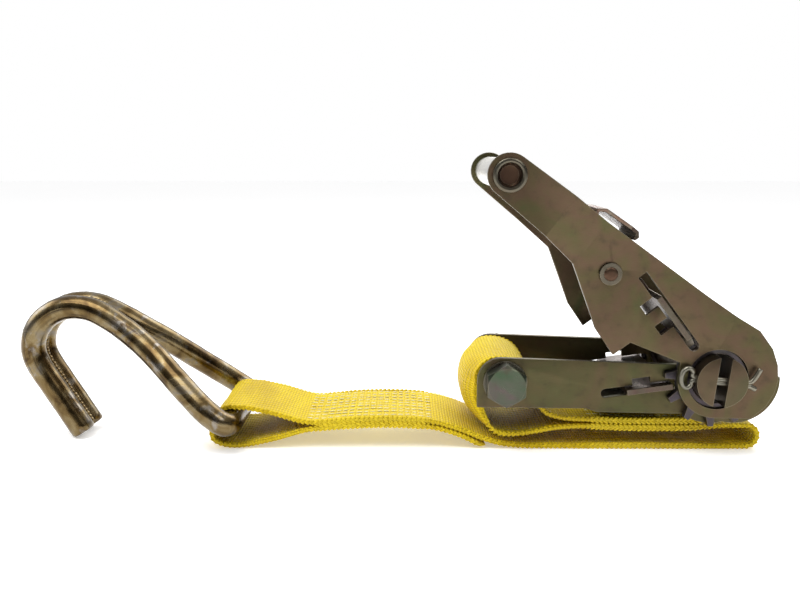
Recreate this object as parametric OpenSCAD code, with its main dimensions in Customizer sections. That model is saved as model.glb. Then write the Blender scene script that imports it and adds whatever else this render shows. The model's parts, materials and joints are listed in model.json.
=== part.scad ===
// Ratchet tie down: a 50 mm webbing strap with a double J hook at one end and a
// ratchet buckle at the other. Millimetres. The origin lies on the floor under the
// mandrel axis. +X runs away from the hook, +Y across the webbing, +Z up.

/* [Webbing] */
// Width of the webbing
web_w = 50; // [46:1:50]
// Thickness of one ply of webbing
web_t = 2.6; // [2.2:0.1:2.6]

/* [Mandrel and wheels] */
// Height of the mandrel axis above the floor
axis_z = 40; // [38:1:44]
// Radius of the two half-moon mandrel bars
mandrel_r = 12.5; // [12:0.1:12.6]
// Width of the slot between the two bars
mandrel_gap = 5.6; // [4.6:0.2:6]
// Half of the mandrel's length
mandrel_reach = 43; // [42.6:0.2:44]
// Outer radius of the wheel hubs
hub_r = 15; // [14.8:0.1:15]
// Radius over the tips of the wheel teeth
tooth_tip_r = 25.2; // [24.6:0.1:25.2]
// Radius at the roots of the wheel teeth
tooth_root_r = 19.6; // [19:0.1:20]

/* [Frame] */
// Thickness of a frame side plate
frame_t = 3; // [2.6:0.1:3]
// Clear gap between the two frame side plates
frame_gap = 53; // [53:0.5:53.5]
// Distance from the mandrel axis to the anchor bolt
bolt_x = 104; // [102:1:106]
// Radius of the anchor bolt's shank
bolt_r = 6; // [5.5:0.1:6]
// Width across the flats of the bolt head
hex_af = 19; // [18:0.5:19]

/* [Handle] */
// Thickness of a handle side plate
handle_t = 2.8; // [2.6:0.1:2.8]
// How far each handle plate steps outward towards the grip
jog = 13.5; // [12:0.5:14]
// Outer radius of the grip tube
grip_r = 7.8; // [7.4:0.1:8.2]

/* [Hook] */
// Radius of the hook wire
wire_r = 6.3; // [5.8:0.1:6.3]
// Half of the hook ring's width, to the middle of the wire
ring_reach = 33; // [33:0.5:34]

/* [Hidden] */
$fn = 64;
clear = 0.2;                      // gap between faces that slide past each other
fit = 0.06;                       // radial gap between a shaft and its hole

frame_in = frame_gap / 2;         // inner face of a frame side plate
frame_out = frame_in + frame_t;
wheel_in = frame_out + 0.3;       // inner face of a ratchet wheel
wheel_t = 3.7;
handle_in = wheel_in + wheel_t + clear;
handle_out = handle_in + handle_t;
grip_in = handle_in + jog;        // inner face of a handle plate at the grip
grip_out = grip_in + handle_t;

// Handle directions: the top edge runs along handle_a, measured from +X towards +Z
handle_a = 143.3;
handle_top = 28.9;                // from the mandrel axis to the top edge
fold_in = 92.5;                   // where the outward step starts and ends, along the handle
fold_out = 114.5;
grip_at = [-106.3, 100];          // grip axis, from the mandrel axis
grip_end_r = 10.3;
tie_at = [-55.2, 52.6];           // tie rivet, from the mandrel axis
drive_a = 127.3;                  // direction of the drive pawl's slot
lock_tilt = 8;                    // slope of the lock pawl's slot
lock_z = -1.6;                    // where the slot's line passes the mandrel axis
bolt_at = [-bolt_x, -3.4];
sleeve_r = 9;
hook_bar = [-243.5, 14];
slot_lean = 6;

function arc(c, r, a0, a1, n) = [for (i = [0:n]) let (a = a0 + (a1 - a0) * i / n) c + r * [cos(a), sin(a)]];
function unit(v) = v / norm(v);

// Catmull-Rom curve through a list of points
function spline_at(a, b, c, d, t) =
    0.5 * (2 * b + (c - a) * t + (2 * a - 5 * b + 4 * c - d) * t * t + (3 * b - a - 3 * c + d) * t * t * t);
function spline(p, n) = let (e = len(p) - 1) concat(
    [for (i = [0:e - 1], k = [0:n - 1])
        spline_at(i == 0 ? 2 * p[0] - p[1] : p[i - 1], p[i], p[i + 1],
            i == e - 1 ? 2 * p[e] - p[e - 1] : p[i + 2], k / n)],
    [p[e]]);

// A band of thickness t along a line of points
function side(p, off) = let (e = len(p) - 1) [for (i = [0:e])
    let (d = unit(p[min(i + 1, e)] - p[max(i - 1, 0)])) p[i] + off * [-d[1], d[0]]];
function reverse(p) = [for (i = [len(p) - 1:-1:0]) p[i]];
module band(p, t) { polygon(concat(side(p, t / 2), reverse(side(p, -t / 2)))); }

// Stands an XZ outline up and gives it the thickness t from y onward
module upright(y, t) { translate([0, y + t, 0]) rotate([90, 0, 0]) linear_extrude(t) children(); }
// The same, placed on the mandrel axis
module on_axis(y, t) { translate([0, 0, axis_z]) upright(y, t) children(); }
// A round bar along Y at an XZ place measured from the mandrel axis
module rod(at, r, y0, y1) { on_axis(y0, y1 - y0) translate(at) circle(r); }
module mirrored() { children(); mirror([0, 1, 0]) children(); }

// Route of the webbing seen from the side. It starts at the cut end under the hook
// loop, goes round the hook's bar, runs to the fold under the buckle, comes back,
// goes round the anchor bolt's sleeve and ends sewn on top of itself.
loop_r = wire_r + 0.3 + web_t / 2;
hook_tail = [[-116.5, 2.3], [-127, 7.4], [-141, 11.3], [-160, 12.6], [-180, 12.1], [-203, 10],
    [-222, 4.8], [-236, 1.7], [-246, 1.5], [-252.6, 4.2], [-253.9, 9]];
hook_run = [[-235, 21.4], [-222, 18.6], [-203, 13.6], [-180, 15.2], [-160, 15.6], [-141, 14.3],
    [-127, 10.6], [-116, 6.1], [-105, 2.7], [-94, web_t / 2 + 0.1], [-84, web_t / 2]];
fold_r = 5.6;
fold_at = [21, web_t / 2 + fold_r];
bolt_run = [[8, 12.4], [-6, 11.5], [-22, 11.2], [-42, 11.3], [-60, 12], [-76, 11.4], [-90, 8.8],
    [-103, 7.8], [-114, 11.5], [-121.5, 19.5], [-124.6, 30], [-122.3, 40], [-114, 46.1], [-104, 47.4],
    [-94.6, 43.8], [-89.3, 36], [-87, 27], [-82.5, 19.6], [-73, 16.4], [-60, 15.7], [-42, 15],
    [-22, 14.9], [-2, 15.2]];
strap_route = concat(spline(hook_tail, 3), arc(hook_bar, loop_r, 174, 84, 8), spline(hook_run, 3),
    arc(fold_at, fold_r, -90, 90, 10), spline(bolt_run, 3));

module webbing_strap() { color("gold") upright(-web_w / 2, web_w) band(strap_route, web_t); }

// Rows of thread that stand on the top ply of a sewn stretch, from x0 to x1
thread_t = 0.4;
module thread_rows(run, x0, x1, rows) {
    line = [for (p = spline(run, 3)) if (p[0] > x0 && p[0] < x1) p];
    raised = side(line, (line[0][0] < line[1][0] ? 1 : -1) * (web_t / 2 + thread_t / 2));
    for (k = [0:rows - 1])
        upright(-web_w / 2 + (k + 0.7) * web_w / (rows + 0.4) - 0.6, 1.2) band(raised, thread_t);
}
module hook_loop_stitching() { color("white") thread_rows(hook_run, -205, -138, 6); }
module bolt_loop_stitching() {
    color("khaki") thread_rows(reverse([for (i = [16:22]) bolt_run[i]]), -62, -4, 6);
}

// Side plate of the frame: a bar from the anchor bolt to a round end about the mandrel
lobe_at = [11.8, -2.5];
lobe_r = 22;
web_z = -18.6;                    // underside of the bridge, from the mandrel axis
frame_web_t = 2.6;
web_x = [-58, 36];                // where the bridge starts and how long it is
seat_h = 13;                      // height of the upturned spring seat
module frame_outline() {
    difference() {
        union() {
            polygon(concat([[-117.9, -16.6], [-62.4, -17.2], [-57.7, -19], [-18.6, -19.8], [0, -19],
                [0, 5.2], [-22, 6]], arc([-105.9, -3], 12, 90, 180, 12)));
            circle(19);
            difference() {
                circle(24.6);
                translate([-40, -6]) square([80, 60]);
            }
            difference() {
                translate(lobe_at) circle(lobe_r);
                translate([-40, -0.6]) square([90, 40]);
            }
        }
        circle(hub_r + fit);
        translate(bolt_at) circle(bolt_r + fit);
        translate([0, lock_z]) rotate(lock_tilt) lock_slot();
    }
}
// Slot that the lock pawl slides in, with a hump that lets its shoulder pass
module lock_slot() {
    hull() {
        translate([-54, 0]) circle(2.2);
        translate([-19, 0]) circle(2.2);
    }
    translate([-40, 0]) square([9, 5.5]);
}
module frame_plate() { color([0.45, 0.4, 0.29]) on_axis(frame_in, frame_t) frame_outline(); }
module frame_side_plate_near() { mirror([0, 1, 0]) frame_plate(); }
module frame_side_plate_far() { frame_plate(); }

// Bridge between the frame plates, with an upturned spring seat
module frame_web_plate() {
    color([0.42, 0.37, 0.27]) {
        translate([web_x[0], -frame_in, axis_z + web_z]) cube([web_x[1], frame_gap, frame_web_t]);
        difference() {
            translate([web_x[0] - 2.6, -14, axis_z + web_z]) cube([2.6, 28, seat_h]);
            translate([web_x[0] - 4, -4.2, axis_z + web_z + 6]) cube([5, 8.4, seat_h]);
        }
    }
}

module anchor_bolt() {
    color([0.42, 0.45, 0.36]) {
        rod(bolt_at, bolt_r, -frame_out - 1.6, frame_out + 12);
        on_axis(-frame_out - 9.6, 8) translate(bolt_at) rotate(30) circle(hex_af / sqrt(3), $fn = 6);
    }
}
module anchor_nut() {
    color([0.4, 0.42, 0.34]) on_axis(frame_out + 1.6, 9) translate(bolt_at) difference() {
        rotate(12) circle(hex_af / sqrt(3), $fn = 6);
        circle(bolt_r);
    }
}
module anchor_washers() {
    color([0.5, 0.47, 0.38]) mirrored() on_axis(frame_out, 1.6) translate(bolt_at) difference() {
        circle(11);
        circle(bolt_r + fit);
    }
}
module anchor_sleeve() {
    color([0.5, 0.48, 0.4]) on_axis(-frame_in, frame_gap) translate(bolt_at) difference() {
        circle(sleeve_r);
        circle(bolt_r + fit);
    }
}

// Spring-loaded plate whose wide end locks both wheels
pawl_t = 3;
pawl_ear = handle_in - clear;     // the ears stop short of the handle plates
module lock_frame() { translate([0, 0, axis_z + lock_z]) rotate([0, -lock_tilt, 0]) children(); }
module lock_pawl() {
    color([0.55, 0.42, 0.4]) lock_frame() {
        translate([-44, -pawl_ear, -pawl_t / 2]) cube([23, 2 * pawl_ear, pawl_t]);
        translate([-47.5, -15, -pawl_t / 2]) cube([4, 30, pawl_t]);
        translate([-68, -3.6, -pawl_t / 2]) cube([21, 7.2, pawl_t]);
    }
}
// A round wire along a line of points
function wire_frames(p, d, i, s) = i >= len(p) ? [] :
    let (t = unit(s - (s * d[i]) * d[i])) concat([t], wire_frames(p, d, i + 1, t));
module wire(p, r, sides, start) {
    e = len(p) - 1;
    d = [for (i = [0:e]) unit(p[min(i + 1, e)] - p[max(i - 1, 0)])];
    s = wire_frames(p, d, 0, start);
    points = [for (i = [0:e], k = [0:sides - 1]) let (a = 360 * k / sides)
        p[i] + r * (cos(a) * s[i] + sin(a) * cross(d[i], s[i]))];
    walls = [for (i = [0:e - 1], k = [0:sides - 1]) let (n = (k + 1) % sides, b = i * sides)
        [b + k, b + sides + k, b + sides + n, b + n]];
    ends = [[for (k = [0:sides - 1]) k], [for (k = [sides - 1:-1:0]) e * sides + k]];
    polyhedron(points, concat(walls, ends));
}
// A compression spring about the X axis
module coil(length, r, turns, wire_r) {
    steps = turns * 14;
    pitch = (length - 2 * wire_r) / steps;
    line = [for (i = [0:steps]) let (a = 360 * i / 14) [wire_r + i * pitch, r * cos(a), r * sin(a)]];
    wire(line, wire_r, 8, [1, 0, 0]);
}
module lock_pawl_spring() {
    color("silver") lock_frame() translate([-57.7, 0, 0]) coil(9.8, 5, 3.5, 0.7);
}

// Half-moon bars with a slot between them for the webbing
module half_moon(turn) {
    on_axis(-mandrel_reach, 2 * mandrel_reach) rotate(turn) difference() {
        circle(mandrel_r);
        translate([-20, -20]) square([20 + mandrel_gap / 2, 40]);
    }
}
module mandrel_half_left() { color([0.6, 0.55, 0.42]) drilled() half_moon(180 - slot_lean); }
module mandrel_half_right() { color([0.6, 0.55, 0.42]) drilled() half_moon(-slot_lean); }
pin_y = handle_out + 3;
pin_r = 1.7;
module drilled() {
    difference() {
        children();
        mirrored() translate([0, pin_y, axis_z]) rotate([0, 90 + slot_lean, 0])
            cylinder(h = 40, r = pin_r, center = true);
    }
}
// Split pin across both bars: an eye on one side, two bent legs on the other
module split_pin() {
    color("silver") translate([0, pin_y, axis_z]) rotate([0, slot_lean, 0]) {
        translate([-15, 0, 0]) rotate([0, 90, 0]) cylinder(h = 30, r = pin_r);
        translate([-18.2, 0, 0]) rotate([90, 0, 0]) rotate_extrude() translate([4.4, 0]) circle(1.4);
        for (leg = [[62, 10], [-14, 5]])
            translate([14, 0, 0]) rotate([0, 90 - leg[0], 0]) translate([0, 0, -1])
                cylinder(h = leg[1], r = 1.3);
    }
}
module split_pin_far() { split_pin(); }
module split_pin_near() { mirror([0, 1, 0]) split_pin(); }

// Toothed wheel with a hub on each side and a bore for the two half-moon bars
teeth = 12;
tooth_phase = 180.8;              // direction of one tooth's steep corner
module wheel_outline() {
    pitch = 360 / teeth;
    polygon([for (k = [0:teeth - 1]) let (a = tooth_phase + k * pitch) each concat(
        [tooth_tip_r * [cos(a - 6.5), sin(a - 6.5)], tooth_tip_r * [cos(a), sin(a)]],
        arc([0, 0], tooth_root_r, a + 1.5, a + pitch - 12, 4))]);
}
module wheel() {
    color([0.45, 0.42, 0.46]) difference() {
        union() {
            on_axis(wheel_in, wheel_t) wheel_outline();
            on_axis(frame_in, handle_in + 1 - frame_in) circle(hub_r);
        }
        on_axis(frame_in - 1, 20) circle(mandrel_r + fit);
    }
}
module ratchet_wheel_near() { mirror([0, 1, 0]) wheel(); }
module ratchet_wheel_far() { wheel(); }

// Handle side plate outline, flat
module handle_outline() {
    difference() {
        polygon(concat(
            [[-52.3, 12.4], [-44, 18.6], [-19.1, 8.6]],
            arc([0, 0], 19.8, 167, 268, 16),
            [[17.5, -20], [24.4, -13.9], [28.1, -7.1], [29.6, -0.5], [28.9, 7.2], [25.9, 15.4], [19.1, 24.4]],
            [[7.8, 31.2], [-7.2, 41.4]],
            arc(grip_at, grip_end_r, handle_a - 90, handle_a + 90, 16),
            [[-89.4, 72.2], [-73.4, 57.4], [-61.4, 25.6]]));
        circle(hub_r + fit);
        rotate(drive_a) drive_slot();
        translate(tie_at) circle(3.3);
        translate(grip_at) circle(5.6);
    }
}
// Radial slot for the drive pawl's ears, with two notches on its lower side
module drive_slot() {
    translate([21.2, 0]) circle(2.5);
    translate([21.2, -2.5]) square([44.3, 5]);
    for (r = [38.2, 50.7]) translate([r - 2.8, 0]) square([5.6, 9.8]);
}
// The folded sheet that the plate's outline is cut from, seen along its width
module folded_sheet() {
    rise = handle_t / 2;
    p = [[-60, handle_in + rise], [fold_in, handle_in + rise], [fold_out, grip_in + rise],
        [200, grip_in + rise]];
    band(p, handle_t);
}
module handle_plate() {
    color([0.5, 0.44, 0.33]) intersection() {
        on_axis(handle_in - 5, 40) handle_outline();
        translate([0, 0, axis_z]) rotate([0, -handle_a, 0]) translate([0, 0, -100]) linear_extrude(200)
            folded_sheet();
    }
}
module handle_side_plate_near() { mirror([0, 1, 0]) handle_plate(); }
module handle_side_plate_far() { handle_plate(); }

// Places a child in the drive pawl's frame: X out along the slot, Z towards the foot
module drive_frame() { translate([0, 0, axis_z]) rotate([0, -drive_a, 0]) children(); }
pawl_tip = 25.7;                  // the pawl rests just clear of the tooth tips
seat_at = 67;
module handle_web_plate() {
    color([0.46, 0.4, 0.3]) drive_frame() difference() {
        translate([seat_at, -handle_in, -8]) cube([2.5, 2 * handle_in, 14]);
        translate([seat_at - 1, -8.6, -2]) cube([5, 17.2, 4]);
    }
}
// Sliding plate that drives both wheels, with a finger tab folded back over the handle
module drive_pawl() {
    color([0.62, 0.6, 0.5]) drive_frame() {
        translate([pawl_tip, -handle_out - 1, -pawl_t / 2]) cube([26, 2 * handle_out + 2, pawl_t]);
        translate([50, -16, -pawl_t / 2]) cube([8, 32, pawl_t]);
        translate([57, -8, -pawl_t / 2]) cube([40, 16, pawl_t]);
    }
    color([0.6, 0.3, 0.2]) finger_tab();
}
tab_line = [[-55.5, 75.4], [-58.4, 79], [-57.8, 82], [-53.8, 81.8], [-40.6, 72.8], [-37.8, 70.6],
    [-37.6, 68.4], [-39.4, 67.4]];
module finger_tab() {
    on_axis(-17, 34) band(tab_line, 2);
}
module drive_pawl_spring() {
    color("silver") drive_frame() translate([58.3, 0, 0]) coil(8.4, 9.6, 2.5, 0.8);
}
module tie_tube() {
    color([0.5, 0.45, 0.36]) on_axis(-handle_in, 2 * handle_in) translate(tie_at) difference() {
        circle(5);
        circle(3.3);
    }
}
module tie_rivet() {
    color([0.6, 0.35, 0.25]) {
        rod(tie_at, 3.3, -handle_out - 1.2, handle_out + 1.2);
        mirrored() translate([tie_at[0], handle_out + 1.2, axis_z + tie_at[1]]) rotate([-90, 0, 0])
            cylinder(h = 0.9, r1 = 3.3, r2 = 2.4);
    }
}
module tie_washers() {
    color([0.55, 0.52, 0.42]) mirrored() on_axis(handle_out, 1.2) translate(tie_at) difference() {
        circle(5.5);
        circle(3.3);
    }
}
module grip_tube() {
    color("gainsboro") on_axis(-grip_in, 2 * grip_in) translate(grip_at) difference() {
        circle(grip_r);
        circle(5.6);
    }
}
// Tubular rivet through the grip, flared over each plate
module grip_rivet() {
    color([0.55, 0.5, 0.42]) {
        rod(grip_at, 5.6, -grip_out - 0.4, grip_out + 0.4);
        mirrored() on_axis(grip_out, 1.6) translate(grip_at) difference() {
            circle(7.8);
            circle(5.6);
        }
    }
}

// Hook: one wire, from one tip up over the crest, round the ring and back beside itself
leg_y = wire_r + 0.1;
hook_half = [[-327, -leg_y, 3.4], [-333, -leg_y, 13.4], [-341, -leg_y, 26.8], [-348, -leg_y, 38.8],
    [-350.6, -leg_y, 47.8], [-348.6, -leg_y, 57.5], [-342.5, -leg_y, 65.2], [-333.5, -leg_y, 69.8],
    [-324, -leg_y, 70.2], [-314, -7, 67.2], [-299, -9.8, 58], [-284, -16, 46.8], [-270, -24, 34.6],
    [-257, -31, 23.6], [-249.5, -ring_reach, 17.8], [hook_bar[0] - 1.4, -32, hook_bar[1] + 0.8],
    [hook_bar[0], -26, hook_bar[1]], [hook_bar[0], -18, hook_bar[1]]];
hook_line = spline(concat(hook_half,
    [for (i = [len(hook_half) - 1:-1:0]) [hook_half[i][0], -hook_half[i][1], hook_half[i][2]]]), 2);
module hook_wire() { color([0.62, 0.5, 0.3]) wire(hook_line, wire_r, 16, [-1, 0, 0]); }

// Weld bead in the groove between the two legs, over the crest and down to the tips
module hook_weld() {
    seam = [for (q = hook_half) if (q[0] < -313) [q[0], q[2]]];
    color([0.5, 0.42, 0.3]) upright(-2, 4) band(spline(seam, 2), 9.6);
}

webbing_strap();
hook_loop_stitching();
bolt_loop_stitching();
frame_side_plate_near();
frame_side_plate_far();
frame_web_plate();
anchor_bolt();
anchor_nut();
anchor_washers();
anchor_sleeve();
lock_pawl();
lock_pawl_spring();
mandrel_half_left();
mandrel_half_right();
ratchet_wheel_near();
ratchet_wheel_far();
split_pin_near();
split_pin_far();
handle_side_plate_near();
handle_side_plate_far();
handle_web_plate();
grip_tube();
grip_rivet();
tie_tube();
tie_rivet();
tie_washers();
drive_pawl();
drive_pawl_spring();
hook_wire();
hook_weld();
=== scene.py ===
"""Looks of the ratchet tie down: yellow webbing, double J hook and zinc plated ratchet buckle."""
import math
import random

import bmesh
import bpy
import numpy as np
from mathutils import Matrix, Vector
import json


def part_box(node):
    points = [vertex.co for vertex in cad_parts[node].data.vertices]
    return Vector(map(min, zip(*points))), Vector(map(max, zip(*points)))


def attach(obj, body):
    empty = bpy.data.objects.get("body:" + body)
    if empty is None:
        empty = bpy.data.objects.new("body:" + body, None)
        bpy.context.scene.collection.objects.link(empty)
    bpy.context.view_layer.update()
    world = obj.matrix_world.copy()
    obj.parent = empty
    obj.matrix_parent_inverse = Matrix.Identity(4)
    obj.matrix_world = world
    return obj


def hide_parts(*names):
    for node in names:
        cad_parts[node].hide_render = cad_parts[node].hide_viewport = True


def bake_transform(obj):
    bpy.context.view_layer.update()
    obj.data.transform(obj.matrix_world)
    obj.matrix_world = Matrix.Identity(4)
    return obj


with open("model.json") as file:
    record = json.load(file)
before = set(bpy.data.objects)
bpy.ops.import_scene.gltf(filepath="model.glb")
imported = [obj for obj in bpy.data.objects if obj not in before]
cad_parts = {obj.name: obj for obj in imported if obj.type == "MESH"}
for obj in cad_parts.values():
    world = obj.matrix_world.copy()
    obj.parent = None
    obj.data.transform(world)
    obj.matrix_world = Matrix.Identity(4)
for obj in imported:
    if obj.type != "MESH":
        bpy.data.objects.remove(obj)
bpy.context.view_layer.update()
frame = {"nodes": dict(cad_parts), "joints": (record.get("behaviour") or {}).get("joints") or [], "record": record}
NODES = frame["nodes"]
BODY_OF = {n: body for body, names in frame["record"]["behaviour"]["bodies"].items() for n in names}
MM = 0.001
rng = random.Random(7)

# ---------------------------------------------------------------- sizes from the frame


def span(node, axis):
    """Lowest and highest value of a CAD node along one axis, in mm."""
    low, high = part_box(node)
    return low[axis] / MM, high[axis] / MM


JOINTS = {j["name"]: j for j in frame["joints"]}
AXLE = np.array([0.0, JOINTS["mandrel_spin"]["pos_m"][2] / MM])
BOLT = np.array([JOINTS["frame_swing"]["pos_m"][0], JOINTS["frame_swing"]["pos_m"][2]]) / MM
HOOK_BAR = np.array([JOINTS["hook_swing"]["pos_m"][0], JOINTS["hook_swing"]["pos_m"][2]]) / MM
WEB_HALF = span("webbing_strap", 1)[1]
WEB_T = 2.6                              # webbing thickness
WIRE_R = 6.3                             # hook wire
DRIVE_DIR = Vector(JOINTS["drive_pawl_slide"]["axis"])
LOCK_DIR = -Vector(JOINTS["lock_pawl_slide"]["axis"])

# ---------------------------------------------------------------- material helpers


class Nodes:
    """A material's node tree, with short calls to add and join nodes."""

    def __init__(self, name):
        """An empty material with its principled shader at hand."""
        self.material = bpy.data.materials.new(name)
        self.material.use_nodes = True
        self.tree = self.material.node_tree
        self.shader = self.tree.nodes["Principled BSDF"]

    def add(self, kind, inputs=(), **settings):
        """A new node, its inputs given as values or as outputs of other nodes."""
        node = self.tree.nodes.new("ShaderNode" + kind)
        for key, value in settings.items():
            setattr(node, key, value)
        for key, value in dict(inputs).items():
            self.put(node.inputs[key], value)
        return node

    def put(self, socket, value):
        """Joins an output to the socket, or sets the socket's value."""
        if isinstance(value, bpy.types.NodeSocket):
            self.tree.links.new(value, socket)
        else:
            socket.default_value = value

    def math(self, operation, a, b=0.0, clamp=False):
        """One sum on two values or outputs."""
        node = self.add("Math", {0: a, 1: b}, operation=operation, use_clamp=clamp)
        return node.outputs[0]

    def place(self, scale=(1, 1, 1)):
        """Where a point is on the object, stretched by a scale."""
        where = self.add("TexCoord").outputs["Object"]
        return self.add("Mapping", {"Vector": where, "Scale": scale}).outputs[0]

    def noise(self, where, scale, detail=3.0, distortion=0.0):
        """Cloudy noise from 0 to 1."""
        inputs = {"Vector": where, "Scale": scale, "Detail": detail, "Distortion": distortion}
        return self.add("TexNoise", inputs).outputs["Fac"]

    def ramp(self, value, stops):
        """A colour for a value, from stops of (value, colour)."""
        node = self.add("ValToRGB", {"Fac": value})
        marks = node.color_ramp.elements
        while len(marks) < len(stops):
            marks.new(0.5)
        for mark, (at, colour) in zip(marks, stops):
            mark.position = at
            mark.color = (*colour, 1)
        return node.outputs["Color"]

    def mix(self, factor, a, b, blend="MIX"):
        """Two colours mixed by a factor."""
        node = self.add("Mix", data_type="RGBA", blend_type=blend)
        self.put(node.inputs["Factor"], factor)
        self.put(node.inputs["A"], (*a, 1) if isinstance(a, tuple) else a)
        self.put(node.inputs["B"], (*b, 1) if isinstance(b, tuple) else b)
        return node.outputs["Result"]

    def bump(self, height, distance, strength=1.0, base=None):
        """A bumped normal, over a base normal if one is given."""
        inputs = {"Height": height, "Distance": distance, "Strength": strength}
        if base is not None:
            inputs["Normal"] = base
        return self.add("Bump", inputs).outputs["Normal"]


DRAWN = (300, 300, 2600)                 # noise scale that gives the fine lines of drawn steel
RIB_PITCH, CORD_PITCH, BAND_PITCH = 1.5, 1.3, 6.2        # of the weave, in mm


def zinc(name, tints, rough=0.38, metallic=0.95, spots=0.5):
    """Zinc plated steel: cloudy tints, fine drawn lines, small dull spots and a worn edge."""
    n = Nodes(name)
    cloud = n.noise(n.place(), 28, 4, 1.2)
    colour = n.ramp(cloud, [(0.3 + 0.4 * i / (len(tints) - 1), t) for i, t in enumerate(tints)])
    lines = n.noise(n.place(DRAWN), 1.0, 2)
    colour = n.mix(n.math("MULTIPLY", lines, 0.35), colour, (0.75, 0.68, 0.5), "MULTIPLY")
    dirt = n.noise(n.place(), 190, 5)
    dull = n.ramp(dirt, [(0.56, (0, 0, 0)), (0.72, (1, 1, 1))])
    colour = n.mix(n.math("MULTIPLY", dull, spots), colour, (0.07, 0.055, 0.035))
    edge = n.add("Bevel", {"Radius": 0.0006}, samples=4).outputs[0]
    flat = n.add("NewGeometry").outputs["Normal"]
    turned = n.add("VectorMath", {0: edge, 1: flat}, operation="DOT_PRODUCT").outputs["Value"]
    worn = n.math("MULTIPLY", n.math("SUBTRACT", 1.0, turned), 5.0, clamp=True)
    colour = n.mix(worn, colour, (0.2, 0.17, 0.115))
    n.put(n.shader.inputs["Base Color"], colour)
    n.shader.inputs["Metallic"].default_value = metallic
    n.put(n.shader.inputs["Roughness"], n.math("ADD", n.math("MULTIPLY", dirt, 0.28), rough - 0.12))
    fine = n.bump(lines, 0.00002, 0.5)
    n.put(n.shader.inputs["Normal"], n.bump(n.noise(n.place(), 420, 3), 0.00004, 0.5, fine))
    return n.material


def webbing_material():
    """Woven polyester: ribs across it, cords and broad bands along it, from the weave attribute, with shade
    painted into the grooves between the bands and into the troughs of the ribs.
    """
    n = Nodes("webbing_yellow")
    weave = n.add("Attribute", attribute_name="weave").outputs["Vector"]
    axes = n.add("SeparateXYZ", {0: weave})
    across, along, sewn = axes.outputs
    wobble = n.math("MULTIPLY", n.noise(n.place(), 160, 2), 2.0)
    rib = n.math("SINE", n.math("ADD", n.math("MULTIPLY", along, 2 * math.pi / RIB_PITCH), wobble))
    cord = n.math("SINE", n.math("MULTIPLY", across, 2 * math.pi / CORD_PITCH))
    band = n.math("SINE", n.math("MULTIPLY", across, 2 * math.pi / BAND_PITCH))
    band = n.math("POWER", n.math("ABSOLUTE", band), 0.35)
    height = n.math("ADD", n.math("MULTIPLY", rib, 0.35), n.math("MULTIPLY", cord, 0.2))
    height = n.math("ADD", height, n.math("MULTIPLY", band, 2.2))
    patch = n.noise(n.place((1, 0.4, 1)), 55, 3)
    colour = n.ramp(patch, [(0.3, (0.58, 0.40, 0.004)), (0.5, (0.72, 0.53, 0.006)),
                            (0.72, (0.80, 0.62, 0.010))])
    # painted shade: the yellow is darkened in the grooves between the broad bands
    band_groove_shade = n.math("MULTIPLY", n.math("SUBTRACT", 1.0, band), 0.75)
    colour = n.mix(band_groove_shade, colour, (0.46, 0.30, 0.003))
    # painted shade: the yellow is darkened in the troughs between the ribs, where the rib height is low
    low = n.math("MULTIPLY", n.math("SUBTRACT", 0.15, rib), 0.3, clamp=True)
    colour = n.mix(low, colour, (0.30, 0.19, 0.003))
    colour = n.mix(n.math("MULTIPLY", sewn, 0.35), colour, (0.66, 0.52, 0.03))
    n.put(n.shader.inputs["Base Color"], colour)
    n.put(n.shader.inputs["Roughness"], n.math("ADD", n.math("MULTIPLY", patch, 0.3), 0.38))
    n.shader.inputs["Sheen Weight"].default_value = 0.04
    n.shader.inputs["Sheen Roughness"].default_value = 0.45
    n.shader.inputs["Specular IOR Level"].default_value = 0.2
    n.put(n.shader.inputs["Normal"], n.bump(height, 0.0004, 1.0))
    return n.material


def thread_material():
    """Pale twisted sewing thread."""
    n = Nodes("thread_pale")
    twist = n.noise(n.place((1500, 300, 1500)), 1.0, 2)
    colour = n.ramp(twist, [(0.3, (0.62, 0.52, 0.16)), (0.6, (0.80, 0.76, 0.52))])
    n.put(n.shader.inputs["Base Color"], colour)
    n.put(n.shader.inputs["Roughness"], n.math("ADD", n.math("MULTIPLY", twist, 0.2), 0.45))
    n.put(n.shader.inputs["Normal"], n.bump(twist, 0.00005))
    return n.material


def hook_material():
    """Glossy golden zinc on a bent wire, with dark draw marks along it and grey scuffs."""
    n = Nodes("hook_zinc")
    weave = n.add("Attribute", attribute_name="weave").outputs["Vector"]
    streak_at = n.add("Mapping", {"Vector": weave, "Scale": (0.42, 0.03, 1)}).outputs[0]
    streak = n.noise(streak_at, 1.0, 4, 0.6)
    cloud = n.noise(n.place(), 60, 4, 1.5)
    colour = n.ramp(cloud, [(0.3, (0.055, 0.034, 0.014)), (0.44, (0.12, 0.08, 0.032)),
                            (0.58, (0.19, 0.145, 0.075)), (0.7, (0.15, 0.135, 0.115))])
    dark = n.ramp(streak, [(0.3, (1, 1, 1)), (0.44, (0, 0, 0))])
    colour = n.mix(n.math("MULTIPLY", dark, 0.85), colour, (0.025, 0.016, 0.01))
    scuff = n.ramp(n.noise(n.place(), 150, 5), [(0.58, (0, 0, 0)), (0.68, (1, 1, 1))])
    colour = n.mix(n.math("MULTIPLY", scuff, 0.6), colour, (0.26, 0.245, 0.225))
    n.put(n.shader.inputs["Base Color"], colour)
    n.shader.inputs["Metallic"].default_value = 0.95
    n.put(n.shader.inputs["Roughness"], n.math("ADD", n.math("MULTIPLY", cloud, 0.3), 0.10))
    n.put(n.shader.inputs["Normal"], n.bump(streak, 0.0002, 0.6))
    return n.material


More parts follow.
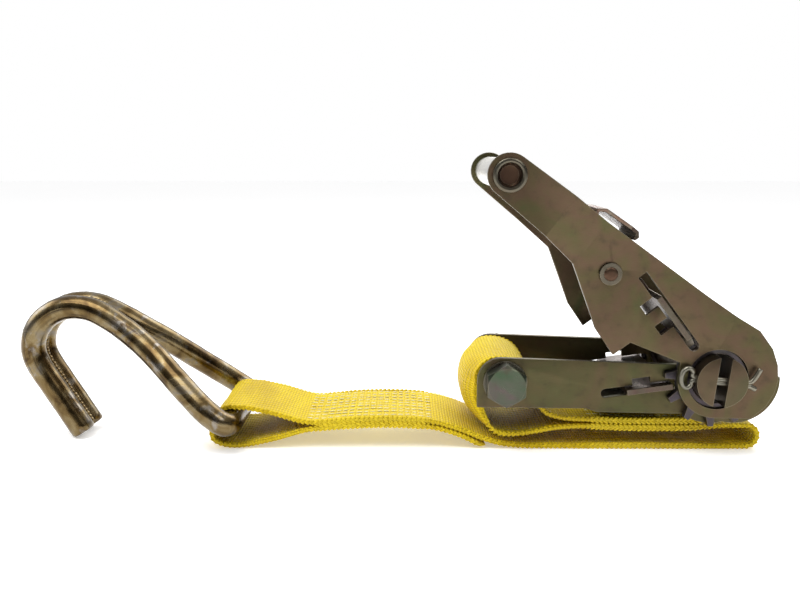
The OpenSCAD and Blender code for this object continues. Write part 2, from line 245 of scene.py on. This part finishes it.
OLIVE, ROSE, MOSS = (0.1, 0.082, 0.042), (0.112, 0.074, 0.048), (0.082, 0.086, 0.038)
ZINC = {                                 # tints of each plated steel, and what else differs
    "plate_zinc": ([MOSS, OLIVE, ROSE, OLIVE], {}),
    "frame_zinc": ([MOSS, OLIVE, ROSE], {"rough": 0.42}),
    "bolt_zinc": ([(0.055, 0.085, 0.05), (0.085, 0.09, 0.07), (0.13, 0.055, 0.09)], {"rough": 0.3}),
    "pawl_zinc": ([(0.085, 0.075, 0.055), (0.09, 0.06, 0.05), (0.11, 0.1, 0.075)], {"rough": 0.28}),
    "tab_zinc": ([(0.2, 0.09, 0.055), (0.24, 0.2, 0.16), (0.18, 0.065, 0.045)], {"rough": 0.25}),
    "spring_steel": ([(0.17, 0.165, 0.14), (0.24, 0.225, 0.18)],
                     {"rough": 0.32, "metallic": 1.0, "spots": 0.4}),
    "mandrel_steel": ([(0.085, 0.07, 0.04), (0.1, 0.07, 0.045), (0.075, 0.07, 0.038)],
                      {"rough": 0.34}),
    "wheel_steel": ([(0.05, 0.045, 0.052), (0.075, 0.062, 0.072), (0.06, 0.058, 0.052)],
                    {"rough": 0.36}),
    "grip_steel": ([(0.78, 0.78, 0.76), (0.86, 0.85, 0.82)], {"rough": 0.3, "spots": 0.12}),
    "rivet_steel": ([(0.07, 0.03, 0.02), (0.05, 0.028, 0.02), (0.09, 0.052, 0.034)],
                    {"rough": 0.36}),
    "washer_steel": ([(0.1, 0.1, 0.082), (0.13, 0.112, 0.085)], {"rough": 0.3}),
}
SKIN = {name: zinc(name, tints, **settings) for name, (tints, settings) in ZINC.items()}
SKIN["hook_zinc"] = hook_material()
SKIN["webbing"] = webbing_material()
SKIN["thread"] = thread_material()

# ---------------------------------------------------------------- mesh helpers


def new_piece(name, mesh, skin, body, slot, *stands_for):
    """Links a mesh as a piece that rides on a body and stands for CAD nodes."""
    piece = bpy.data.objects.new(name, mesh)
    bpy.context.scene.collection.objects.link(piece)
    mesh.materials.append(SKIN[skin])
    if body:
        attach(piece, body)
    if stands_for:
        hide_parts(*stands_for)
    return piece


def sharpen(mesh, degrees=35):
    """Smooth faces, with edges kept sharp where the surface turns by more than this."""
    mesh.shade_smooth()
    mesh.set_sharp_from_angle(angle=math.radians(degrees))


CAD_SAME_POINT = 2e-6                    # metres
OWN_SAME_POINT = 1e-7
FLAT_TURN = 0.6                          # degrees between faces that are really one
EDGE_TURN = 32                           # degrees at an edge that is rounded over


def refine(node, skin, slot, bevel):
    """A CAD node's shape with its edges rounded over, as pressed or turned metal has them."""
    bm = bmesh.new()
    bm.from_mesh(NODES[node].data)
    bmesh.ops.remove_doubles(bm, verts=bm.verts, dist=CAD_SAME_POINT)
    bmesh.ops.dissolve_limit(bm, angle_limit=math.radians(FLAT_TURN), verts=bm.verts,
                             edges=bm.edges)
    sharp = [e for e in bm.edges
             if len(e.link_faces) == 2 and e.calc_face_angle(0) > math.radians(EDGE_TURN)]
    bmesh.ops.bevel(bm, geom=sharp, offset=bevel * MM, offset_type="OFFSET", segments=2,
                    profile=0.6,
                    affect="EDGES", clamp_overlap=True)
    bmesh.ops.triangulate(bm, faces=[f for f in bm.faces if len(f.verts) > 4])
    mesh = bpy.data.meshes.new(node + "_refined")
    bm.to_mesh(mesh)
    bm.free()
    sharpen(mesh, 20)
    return new_piece(node + "_finished", mesh, skin, BODY_OF[node], slot, node)


def mesh_from(name, points, faces, sharp=35):
    """A shaded mesh from points in metres."""
    mesh = bpy.data.meshes.new(name)
    mesh.from_pydata([tuple(p) for p in points], [], faces)
    sharpen(mesh, sharp)
    return mesh


def close_up(mesh):
    """Joins the points that coincide and turns every face outwards."""
    bm = bmesh.new()
    bm.from_mesh(mesh)
    bmesh.ops.remove_doubles(bm, verts=bm.verts, dist=OWN_SAME_POINT)
    bmesh.ops.recalc_face_normals(bm, faces=bm.faces)
    bm.to_mesh(mesh)
    bm.free()


def about(centre, radius, y, angle):
    """The point in metres at a radius and angle about a Y axis that stands at an XZ place."""
    return Vector((centre[0] + radius * math.cos(angle), y,
                   centre[1] + radius * math.sin(angle))) * MM


def grid_faces(rows, columns, closed, first=0):
    """Quads between rows of points. A closed row joins its last point to its first."""
    faces = []
    for i in range(rows - 1):
        for k in range(columns if closed else columns - 1):
            m = (k + 1) % columns
            faces.append((first + i * columns + k, first + i * columns + m,
                          first + (i + 1) * columns + m, first + (i + 1) * columns + k))
    return faces


def spline(points, steps):
    """Catmull-Rom curve through the points, as the CAD model has it."""
    p = [np.array(q, float) for q in points]
    p = [2 * p[0] - p[1]] + p + [2 * p[-1] - p[-2]]
    out = []
    for a, b, c, d in zip(p, p[1:], p[2:], p[3:]):
        for t in np.arange(steps) / steps:
            out.append(0.5 * (2 * b + (c - a) * t + (2 * a - 5 * b + 4 * c - d) * t ** 2
                              + (3 * b - a - 3 * c + d) * t ** 3))
    return out + [p[-2]]


def arc(centre, radius, start, end, steps):
    """Points on an arc from one angle to another, in degrees."""
    turns = [math.radians(a) for a in np.linspace(start, end, steps + 1)]
    return [np.array(centre) + radius * np.array([math.cos(a), math.sin(a)]) for a in turns]


def even(points, step):
    """The same line with points a constant step apart, and the distance of each along it."""
    p = np.array(points)
    lengths = np.concatenate([[0], np.cumsum(np.linalg.norm(np.diff(p, axis=0), axis=1))])
    keep = np.concatenate([[True], np.diff(lengths) > 1e-6])
    at = np.linspace(0, lengths[-1], int(lengths[-1] / step) + 1)
    return np.stack([np.interp(at, lengths[keep], p[keep, k]) for k in range(p.shape[1])], 1), at


def directions(p):
    """Unit direction of a line at each of its points."""
    d = np.gradient(p, axis=0)
    return d / np.linalg.norm(d, axis=1)[:, None]


END_SCALE, END_OUT = 0.86, 0.14          # rounding of a wire's ends, by its radius


def tube(name, path, radius, sides, skin, slot, body, stands_for=(), start=(0, 0, 1),
         radius_at=None):
    """A round wire along a path in mm, with slightly rounded ends."""
    p, along = even(path, radius * 0.5)
    d = directions(p)
    s = np.array(start, float)
    points, attribute = [], []
    last = len(p) - 1
    rows = [(0, 0.0), (0, END_SCALE)] + [(i, 1.0) for i in range(len(p))]
    rows += [(last, END_SCALE), (last, 0.0)]
    sides_at = {}
    for i in range(len(p)):
        s = s - s.dot(d[i]) * d[i]
        s = s / np.linalg.norm(s)
        sides_at[i] = (s, np.cross(d[i], s))
    for row, (i, scale) in enumerate(rows):
        r = radius * scale * (radius_at(along[i]) if radius_at else 1)
        out = END_OUT * radius * (1 if scale < 1 else 0) * (-1 if row < 2 else 1)
        for k in range(sides):
            a = 2 * math.pi * k / sides
            ray = math.cos(a) * sides_at[i][0] + math.sin(a) * sides_at[i][1]
            points.append((p[i] + out * d[i] + r * ray) * MM)
            attribute.append((k * 2 * math.pi * radius / sides, along[i], 0))
    mesh = mesh_from(name, points, grid_faces(len(rows), sides, True), 50)
    store_weave(mesh, attribute)
    close_up(mesh)
    return new_piece(name, mesh, skin, body, slot, *stands_for)


def store_weave(mesh, values):
    """Keeps (across, along, sewn) in mm on each vertex for the materials."""
    attribute = mesh.attributes.new("weave", "FLOAT_VECTOR", "POINT")
    attribute.data.foreach_set("vector", np.array(values, float).ravel())


def lathe(name, profile, centre, direction, skin, slot, body, stands_for=(), sharp=35):
    """A turned shape about a Y axis. profile is (radius, y) in mm, with y along direction."""
    sides = 48
    points = [about(centre, r, direction * y, 2 * math.pi * k / sides)
              for r, y in profile for k in range(sides)]
    mesh = mesh_from(name, points, grid_faces(len(profile), sides, True), sharp)
    close_up(mesh)
    return new_piece(name, mesh, skin, body, slot, *stands_for)


# ---------------------------------------------------------------- webbing

LOOP_R = WIRE_R + 0.3 + WEB_T / 2
FOLD_X, FOLD_R = 21, 5.6                 # where the strap folds back under the buckle
# The ribbon's line in XZ: its lower end to the hook, back over that, the fold, then round the bolt.
HOOK_TAIL = [(-116.5, 2.3), (-127, 7.4), (-141, 11.3), (-160, 12.6), (-180, 12.1), (-203, 10),
             (-222, 4.8),
             (-236, 1.7), (-246, 1.5), (-252.6, 4.2), (-253.9, 9)]
HOOK_RUN = [(-235, 21.4), (-222, 18.6), (-203, 13.6), (-180, 15.2), (-160, 15.6), (-141, 14.3),
            (-127, 10.6),
            (-116, 6.1), (-105, 2.7), (-94, 1.4), (-84, 1.3)]
BOLT_RUN = [(8, 12.4), (-6, 11.5), (-22, 11.2), (-42, 11.3), (-60, 12), (-76, 11.4), (-90, 8.8),
            (-103, 7.8),
            (-114, 11.5), (-121.5, 19.5), (-124.6, 30), (-122.3, 40), (-114, 46.1), (-104, 47.4),
            (-94.6, 43.8),
            (-89.3, 36), (-87, 27), (-82.5, 19.6), (-73, 16.4), (-60, 15.7), (-42, 15), (-22, 14.9),
            (-2, 15.2)]
ROUTE = (spline(HOOK_TAIL, 6) + arc(HOOK_BAR, LOOP_R, 174, 84, 16) + spline(HOOK_RUN, 6)
         + arc((FOLD_X, WEB_T / 2 + FOLD_R), FOLD_R, -90, 90, 16) + spline(BOLT_RUN, 6))
SEWN = [(-203, -140), (-62, 0)]          # stretches along X where the plies are sewn
FADE = 6                                 # over which the sewing's effect comes in
SELVEDGE = 0.5                           # rounded edge of the ribbon
HUG_X, HUG_LOW, HUG_HIGH = -106, 6, 47   # left of this and between these heights the edges draw in
HUG_DEPTH = 6.6
CUT_END = 8                              # length of the cut end that is drawn out at a slant
HUG_FROM = 450                           # along the ribbon, past the hook and the fold


def sewn_share(x):
    """1 in the middle of a sewn stretch, fading to 0 over its ends."""
    return max(min(1, max(0, min(x - low, high - x) / FADE)) for low, high in SEWN)


def hug(point, along):
    """How far the edges of the webbing draw in where it rounds the anchor bolt, in mm."""
    if point[0] > HUG_X or point[1] < HUG_LOW or along < HUG_FROM:
        return 0.0
    height = math.sin(math.pi * min(1, (point[1] - HUG_LOW) / (HUG_HIGH - HUG_LOW)))
    return HUG_DEPTH * min(1, 1.5 * height) * min(1, (HUG_X - point[0]) / 8)


def webbing():
    """The whole ribbon: a flat section with rounded selvedges, carried along the route."""
    p, along = even(ROUTE, 0.8)
    d = directions(p)
    normal = np.stack([-d[:, 1], d[:, 0]], 1)
    columns = 30
    half = WEB_HALF - SELVEDGE
    across = [half * (2 * k / columns - 1) for k in range(columns + 1)]
    section = [(a, 1.0) for a in across] + [(WEB_HALF, 0.45), (WEB_HALF, -0.45)]
    section += [(a, -1.0) for a in reversed(across)] + [(-WEB_HALF, -0.45), (-WEB_HALF, 0.45)]
    points, attribute = [], []
    for i in range(len(p)):
        sewn = sewn_share(p[i][0])
        for a, h in section:
            thick = WEB_T / 2 * 0.86 * h
            quilt = 0.16 * sewn * math.cos(a * 2 * math.pi / 7.1) * h
            wave = 0.12 * math.sin(along[i] / 9.0 + a * 0.11)
            wave += 0.08 * math.sin(along[i] / 3.7 + a * 0.31)
            q = p[i] + normal[i] * (thick + quilt + wave)
            if along[i] < CUT_END:
                q = q + d[i] * (1 - along[i] / CUT_END) * (1.6 * h + 2.2 * a / WEB_HALF)
            q = q - normal[i] * hug(p[i], along[i]) * (abs(a) / WEB_HALF) ** 3
            y = a + 0.35 * math.sin(along[i] / 23.0) * (1 if abs(a) < WEB_HALF - 1 else 0.7)
            points.append((q[0] * MM, y * MM, max(q[1], 0.02) * MM))
            attribute.append((a, along[i], sewn))
    count = len(section)
    faces = grid_faces(len(p), count, True)
    last_ring = range((len(p) - 1) * count, len(p) * count)
    faces += [tuple(range(count)), tuple(reversed(last_ring))]
    mesh = mesh_from("webbing_ribbon", points, faces, 60)
    store_weave(mesh, attribute)
    piece = new_piece("webbing_ribbon", mesh, "webbing", "strap", "webbing", "webbing_strap")
    return piece, p, along, normal


BEAD_SIDES = 6
BEAD_RINGS = [(-0.5, 0.25), (-0.38, 0.75), (-0.15, 1.0), (0.15, 1.0), (0.38, 0.75), (0.5, 0.25)]
BEAD_POINTS = BEAD_SIDES * len(BEAD_RINGS)


def bead(points, faces, centre, direction, normal, length, radius):
    """Adds one small thread loop, a slim capsule, to a mesh being built."""
    side = np.cross(direction, normal)
    first = len(points)
    for t, scale in BEAD_RINGS:
        for k in range(BEAD_SIDES):
            a = math.pi * k / 3
            offset = math.cos(a) * normal + math.sin(a) * side
            points.append((centre + direction * t * length + offset * radius * scale) * MM)
    end = first + BEAD_POINTS
    faces += grid_faces(len(BEAD_RINGS), BEAD_SIDES, True, first)
    faces.append(tuple(range(first, first + BEAD_SIDES)))
    faces.append(tuple(reversed(range(end - BEAD_SIDES, end))))


def selvedges(p, along, normal):
    """Slanted loops of weft that wrap both edges of the webbing, bigger where it is sewn."""
    points, faces, attribute = [], [], []
    step = 3
    d = directions(p)
    for sign in (-1, 1):
        for i in range(1, len(p) - 1, step):
            for h in (-1, 1):
                sewn = sewn_share(p[i][0])
                along_dir = np.array([d[i][0], 0, d[i][1]])
                up = np.array([normal[i][0], 0, normal[i][1]])
                slant = along_dir * 0.84 + up * 0.5 * h
                slant /= np.linalg.norm(slant)
                lift = up * h * (0.5 + 0.25 * sewn) - up * hug(p[i], along[i]) * 0.94
                y = sign * (WEB_HALF - SELVEDGE + rng.uniform(-0.1, 0.1))
                centre = np.array([p[i][0], y, p[i][1]]) + lift
                radius = 0.7 + 0.22 * sewn
                centre[2] = max(centre[2], radius + 0.05)
                top = np.cross(np.cross(slant, up), slant)
                bead(points, faces, centre, slant, top, 2.9 + 0.7 * sewn, radius)
                attribute += [(0.3, along[i], sewn)] * BEAD_POINTS
    mesh = mesh_from("webbing_selvedges", points, faces, 80)
    store_weave(mesh, attribute)
    return new_piece("webbing_selvedges", mesh, "webbing", "strap", "webbing")


def stitches(name, node, run, low, high, rows):
    """Rows of single stitches that stand on the top ply, a little uneven as sewn by machine."""
    line, along = even(spline(run, 8), 0.5)
    d = directions(line)
    sign = 1 if d[len(d) // 2][0] > 0 else -1
    points, faces = [], []
    pitch, length = 3.6, 3.0
    for k in range(rows):
        y0 = -WEB_HALF + (k + 0.8) * 2 * WEB_HALF / (rows + 0.6)
        at = 0.0
        while at < along[-1] - pitch:
            i = int(np.searchsorted(along, at))
            at += pitch
            if not low < line[i][0] < high:
                continue
            up = np.array([-d[i][1], 0, d[i][0]]) * sign
            ahead = np.array([d[i][0], rng.uniform(-0.12, 0.12), d[i][1]])
            ahead /= np.linalg.norm(ahead)
            wander = 0.5 * math.sin(line[i][0] / 5.0 + k * 2.1) + rng.uniform(-0.25, 0.25)
            lift = up * (WEB_T / 2 + rng.uniform(-0.1, 0.05))
            centre = np.array([line[i][0], y0 + wander, line[i][1]]) + lift
            bead(points, faces, centre, ahead, up, length * rng.uniform(0.75, 1.05), 0.34)
    mesh = mesh_from(name, points, faces, 80)
    return new_piece(name, mesh, "thread", "strap", "thread", node)


ribbon, web_p, web_along, web_normal = webbing()
edge_loops = selvedges(web_p, web_along, web_normal)
hook_seam = stitches("hook_loop_stitches", "hook_loop_stitching", HOOK_RUN, -204, -139, 9)
bolt_seam = stitches("bolt_loop_stitches", "bolt_loop_stitching", BOLT_RUN[16:], -62, -4, 7)

# ---------------------------------------------------------------- hook

LEG_Y = WIRE_R + 0.15                    # the two legs lie side by side up to the weld's end
WELD_END = -313
# One half of the wire as (x, z, y), from its tip over the crest to the middle of the bar.
HOOK_HALF = [(-327, 3.4, LEG_Y), (-333, 13.4, LEG_Y), (-341, 26.8, LEG_Y), (-348, 38.8, LEG_Y),
             (-350.6, 47.8, LEG_Y), (-348.6, 57.5, LEG_Y), (-342.5, 65.2, LEG_Y),
             (-333.5, 69.8, LEG_Y),
             (-324, 70.2, LEG_Y), (-314, 67.2, 7), (-299, 58, 9.8), (-284, 46.8, 16),
             (-270, 34.6, 24),
             (-257, 23.6, 31), (-249.5, 17.8, 33), (HOOK_BAR[0] - 1.4, HOOK_BAR[1] + 0.8, 32),
             (HOOK_BAR[0], HOOK_BAR[1], 26), (HOOK_BAR[0], HOOK_BAR[1], 18)]


def hook():
    """The double J: one bent wire, its bar held in the strap's loop."""
    near = [(x, -y, z) for x, z, y in HOOK_HALF]
    far = [(x, y, z) for x, z, y in reversed(HOOK_HALF)]
    tube("hook_wire_bent", spline(near + far, 8), WIRE_R - 0.05, 32, "hook_zinc", "hook_zinc",
         "hook",
         ["hook_wire"], start=(-1, 0, 0),
         radius_at=lambda a: 1 + 0.008 * math.sin(a / 3.1) + 0.006 * math.sin(a / 1.3))


def weld_bead():
    """Rippled seam in the groove between the two legs, on both sides of them."""
    seam = [(x, z) for x, z, _ in HOOK_HALF if x < WELD_END]
    line, along = even(spline(seam, 8), 1.0)
    d = directions(line)
    points, faces = [], []
    for side in (-1, 1):
        for i in range(2, len(line) - 2, 2):
            up = np.array([-d[i][1], 0, d[i][0]]) * side
            ahead = np.array([d[i][0], 0, d[i][1]])
            centre = np.array([line[i][0], rng.uniform(-0.2, 0.2), line[i][1]]) + up * 3.4
            bead(points, faces, centre, ahead, up, 3.6, 1.9 * rng.uniform(0.85, 1.1))
    mesh = mesh_from("hook_weld_seam", points, faces, 80)
    new_piece("hook_weld_seam", mesh, "hook_zinc", "hook", "hook_zinc", "hook_weld")


hook()
weld_bead()

# ---------------------------------------------------------------- pressed and turned metal

for plate in ("frame_side_plate_near", "frame_side_plate_far", "frame_web_plate"):
    refine(plate, "frame_zinc", "plate_zinc", 0.4)
for plate in ("handle_side_plate_near", "handle_side_plate_far", "handle_web_plate"):
    refine(plate, "plate_zinc", "plate_zinc", 0.4)
refine("lock_pawl", "pawl_zinc", "pawl_zinc", 0.3)
TAB_FROM = 0.086                         # metres out from the axle, where the finger tab begins
pawl = refine("drive_pawl", "pawl_zinc", "pawl_zinc", 0.3)
pawl.data.materials.append(SKIN["tab_zinc"])
for face in pawl.data.polygons:
    out = face.center - Vector((0, 0, AXLE[1] * MM))
    if out.dot(DRIVE_DIR) > TAB_FROM:
        face.material_index = 1
for bar in ("mandrel_half_left", "mandrel_half_right"):
    refine(bar, "mandrel_steel", "mandrel_steel", 0.5)
for wheel in ("ratchet_wheel_near", "ratchet_wheel_far"):
    refine(wheel, "wheel_steel", "wheel_steel", 0.3)
refine("grip_tube", "grip_steel", "grip_steel", 0.4)
refine("anchor_sleeve", "bolt_zinc", "bolt_zinc", 0.4)
refine("tie_tube", "rivet_steel", "rivet_steel", 0.4)
refine("anchor_washers", "washer_steel", "bolt_zinc", 0.3)
refine("tie_washers", "washer_steel", "rivet_steel", 0.25)


def hexagon_radius(angle, flats, turn):
    """Distance from a hexagon's centre to its edge in a direction."""
    a = (angle - turn) % (math.pi / 3) - math.pi / 6
    return flats / 2 / math.cos(a)


def hex_piece(name, y0, y1, flats, turn, bore, node):
    """Hex head or nut on the bolt's axis, with its corners chamfered at the y1 end."""
    sides = 120
    chamfer = flats / 2 * 0.96
    out = 1 if y1 > y0 else -1
    points = []
    for ring in range(5):
        for k in range(sides):
            a = 2 * math.pi * k / sides
            r = hexagon_radius(a, flats, turn)
            drop = max(0.0, r - chamfer) * 0.62
            rings = [(bore, y0), (r, y0), (r, y1 - out * drop), (chamfer, y1), (bore, y1)]
            points.append(about(BOLT, *rings[ring], a))
    mesh = mesh_from(name, points, grid_faces(5, sides, True), 25)
    close_up(mesh)
    new_piece(name, mesh, "bolt_zinc", "frame", "bolt_zinc", node)


NUT_FLATS = 19
HEAD_TURN, NUT_TURN = 30, 12             # degrees from +X to a corner of the hexagon
BOLT_R, ROOT_R, THREAD = 5.95, 5.1, 1.75


def anchor_bolt():
    """Hex head, shank with its thread, and nut."""
    low, high = span("anchor_bolt", 1)
    nut_low, nut_high = span("anchor_nut", 1)
    flats = span("anchor_bolt", 0)[1] - span("anchor_bolt", 0)[0]
    hex_piece("anchor_bolt_head", low + 8, low, flats, math.radians(HEAD_TURN), 0.0, "anchor_bolt")
    hex_piece("anchor_nut_hex", nut_low, nut_high, NUT_FLATS, math.radians(NUT_TURN), 5.9,
              "anchor_nut")
    profile = [(0, low + 7), (BOLT_R, low + 7), (BOLT_R, nut_low - 2)]
    y = nut_low - 2
    while y < high - 2 * THREAD:
        profile += [(BOLT_R, y + 0.2), (ROOT_R, y + 0.9), (BOLT_R, y + THREAD - 0.15)]
        y += THREAD
    profile += [(5.2, high - 0.8), (4.6, high), (0, high)]
    lathe("anchor_bolt_shank", profile, BOLT, 1, "bolt_zinc", "bolt_zinc", "frame", sharp=25)


def rivets():
    """Flared tubular rivet at the grip and the peened tie rivet, both ends."""
    grip = [sum(span("grip_tube", k)) / 2 for k in (0, 2)]
    tie = [sum(span("tie_tube", k)) / 2 for k in (0, 2)]
    reach = span("grip_rivet", 1)[1]
    end = span("tie_rivet", 1)[1]
    ring = [(5.5, reach - 1.9), (7.7, reach - 1.7), (8.0, reach - 1.1), (7.8, reach - 0.45),
            (7.2, reach - 0.05), (6.5, reach), (5.9, reach - 0.2), (5.5, reach - 0.8),
            (5.3, reach - 1.5)]
    well = [(5.3, reach - 1.5), (5.1, reach - 3.4), (4.4, reach - 4.1), (2.4, reach - 4.2),
            (0, reach - 4.1)]
    head = [(3.4, end - 1.2), (3.4, end - 0.8), (3.0, end - 0.3), (2.2, end - 0.05), (1.0, end),
            (0, end)]
    for direction, side in ((-1, "near"), (1, "far")):
        for name, profile, centre, skin, node in (
                ("grip_rivet_ring", ring, grip, "washer_steel", "grip_rivet"),
                ("grip_rivet_well", well, grip, "rivet_steel", "grip_rivet"),
                ("tie_rivet_head", head, tie, "rivet_steel", "tie_rivet")):
            lathe(f"{name}_{side}", profile, centre, direction, skin, "rivet_steel", "handle",
                  [node])
    shank = [(0, -end + 1), (3.25, -end + 1), (3.25, end - 1), (0, end - 1)]
    lathe("tie_rivet_shank", shank, tie, 1, "rivet_steel", "rivet_steel", "handle", ["tie_rivet"])


def split_pins():
    """A split pin across the bars at each end: an eye on the left, one leg bent up, one short."""
    lean = math.radians(6)
    reach = sum(span("split_pin_far", 1)) / 2
    for direction, side in ((-1, "near"), (1, "far")):
        eye = [(-13, 0.9), (-13.8, 3.4), (-15.9, 5.0), (-18.3, 3.6), (-19.2, 0.2), (-18.3, -3.4),
               (-15.9, -4.9), (-13.8, -3.2), (-13, -0.9)]
        upper = [(18.4, 8.0), (17.0, 4.4), (15.4, 1.8), (13.2, 0.9), (0, 0.9)] + eye
        lower = [(0, -0.9), (13.0, -0.9), (15.4, -1.3), (17.6, -2.2)]
        path = [(AXLE[0] + x * math.cos(lean) + z * math.sin(lean), direction * reach,
                 AXLE[1] - x * math.sin(lean) + z * math.cos(lean)) for x, z in upper + lower]
        tube(f"split_pin_wire_{side}", spline(path, 6), 1.25, 12, "spring_steel", "spring_steel",
             "mandrel",
             [f"split_pin_{side}"], start=(0, 1, 0))


def spring(name, node, start, direction, length, radius, turns, wire):
    """A compression spring, its end coils closer together."""
    out = np.array(direction)
    side = np.array([0.0, 1.0, 0.0])
    third = np.cross(out, side)
    steps = 28
    count = int(turns * steps)
    path = []
    for i in range(count + 1):
        a = 2 * math.pi * i / steps
        t = i / count
        closed = 0.12 * math.sin(2 * math.pi * t) / (2 * math.pi) * 2
        rise = (t - closed) * (length - 2 * wire) + wire
        path.append(np.array(start) + out * rise + radius * (math.cos(a) * side + math.sin(a) * third))
    piece = tube(name, path, wire, 10, "spring_steel", "spring_steel", None, [node],
                 start=tuple(out))
    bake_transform(piece)


LOCK_SEAT, DRIVE_SEAT = -57.7, 66.8      # where each spring stands, out from the axle
LOCK_DROP = 1.6                          # of the lock pawl's line below the axle


def springs():
    """The coils that push the two pawls at the wheels."""
    tilt = np.array([LOCK_DIR.x, 0, LOCK_DIR.z])
    foot = np.array([0, 0, AXLE[1] - LOCK_DROP]) + tilt * LOCK_SEAT
    spring("lock_spring_coil", "lock_pawl_spring", foot, tilt, 9.9, 5.0, 3.5, 0.7)
    slope = -np.array([DRIVE_DIR.x, 0, DRIVE_DIR.z])
    seat = np.array([0, 0, AXLE[1]]) - slope * DRIVE_SEAT
    spring("drive_spring_coil", "drive_pawl_spring", seat, slope, 8.5, 9.6, 2.5, 0.8)


anchor_bolt()
rivets()
split_pins()
springs()

# ---------------------------------------------------------------- floor, light and camera


def studio_floor():
    """White paper under the strap."""
    bpy.ops.mesh.primitive_plane_add(size=8, location=(0, 0, -0.0002))
    floor = bpy.context.object
    floor.name = "floor"
    n = Nodes("floor_paper")
    paper = n.ramp(n.noise(n.place(), 3, 2), [(0, (0.93,) * 3), (1, (0.95,) * 3)])
    n.put(n.shader.inputs["Base Color"], paper)
    n.shader.inputs["Roughness"].default_value = 0.9
    n.shader.inputs["Specular IOR Level"].default_value = 0.1
    n.shader.inputs["Emission Color"].default_value = (1, 1, 1, 1)
    n.shader.inputs["Emission Strength"].default_value = 0.3
    floor.data.materials.append(n.material)


def studio_world():
    """Light that fades from above to below, behind a background that the camera sees as white."""
    world = bpy.data.worlds.new("studio")
    bpy.context.scene.world = world
    world.use_nodes = True
    tree = world.node_tree
    ray = tree.nodes.new("ShaderNodeTexCoord")
    slope = tree.nodes.new("ShaderNodeVectorMath")
    slope.operation = "DOT_PRODUCT"
    slope.inputs[1].default_value = (-0.1, 0.4, 0.8)
    fade = tree.nodes.new("ShaderNodeValToRGB")
    tree.links.new(ray.outputs["Generated"], slope.inputs[0])
    tree.links.new(slope.outputs["Value"], fade.inputs["Fac"])
    marks = fade.color_ramp.elements
    marks[0].position, marks[0].color = 0.0, (0.04, 0.04, 0.045, 1)
    marks[1].position, marks[1].color = 0.75, (1.0, 1.0, 1.0, 1)
    tree.links.new(fade.outputs["Color"], tree.nodes["Background"].inputs[0])
    seen = tree.nodes.new("ShaderNodeLightPath")
    plain = tree.nodes.new("ShaderNodeBackground")
    plain.inputs[0].default_value = (1.0, 1.0, 1.0, 1)
    both = tree.nodes.new("ShaderNodeMixShader")
    tree.links.new(seen.outputs["Is Camera Ray"], both.inputs[0])
    tree.links.new(tree.nodes["Background"].outputs[0], both.inputs[1])
    tree.links.new(plain.outputs[0], both.inputs[2])
    tree.links.new(both.outputs[0], tree.nodes["World Output"].inputs[0])


def studio_lamps():
    """Four soft boxes aimed at the middle of the object, as (name, place, size, watts)."""
    aim = Vector((-0.13, 0, 0.05))
    boxes = (("key", (-0.5, -0.35, 1.1), 0.7, 9), ("back", (0.35, 0.9, 0.8), 0.9, 9),
             ("left", (-1.1, 0.1, 0.5), 0.6, 4), ("front", (0.5, -0.7, 0.9), 0.5, 3))
    for name, place, size, power in boxes:
        light = bpy.data.lights.new(name, "AREA")
        light.size = size
        light.energy = power
        lamp = bpy.data.objects.new(name, light)
        lamp.location = place
        lamp.rotation_euler = (aim - Vector(place)).to_track_quat("-Z", "Y").to_euler()
        bpy.context.scene.collection.objects.link(lamp)


CAMERA_AT = (-0.1544, -0.4361, 0.1503)
CAMERA_DOWN, CAMERA_LEFT = 10.02, 0.33   # degrees it looks down, and turns left of +Y
LENS = 37.62                             # mm, on a sensor 36 mm wide


def camera():
    """The photograph's viewpoint, from a fit to points on the object."""
    data = bpy.data.cameras.new("camera")
    data.lens = LENS
    data.sensor_width = 36
    data.clip_start = 0.01
    view = bpy.data.objects.new("camera", data)
    view.location = CAMERA_AT
    view.rotation_euler = (math.radians(90 - CAMERA_DOWN), 0, math.radians(CAMERA_LEFT))
    bpy.context.scene.collection.objects.link(view)
    bpy.context.scene.camera = view
    bpy.context.scene.view_settings.view_transform = "Standard"


studio_floor()
studio_world()
studio_lamps()
camera()
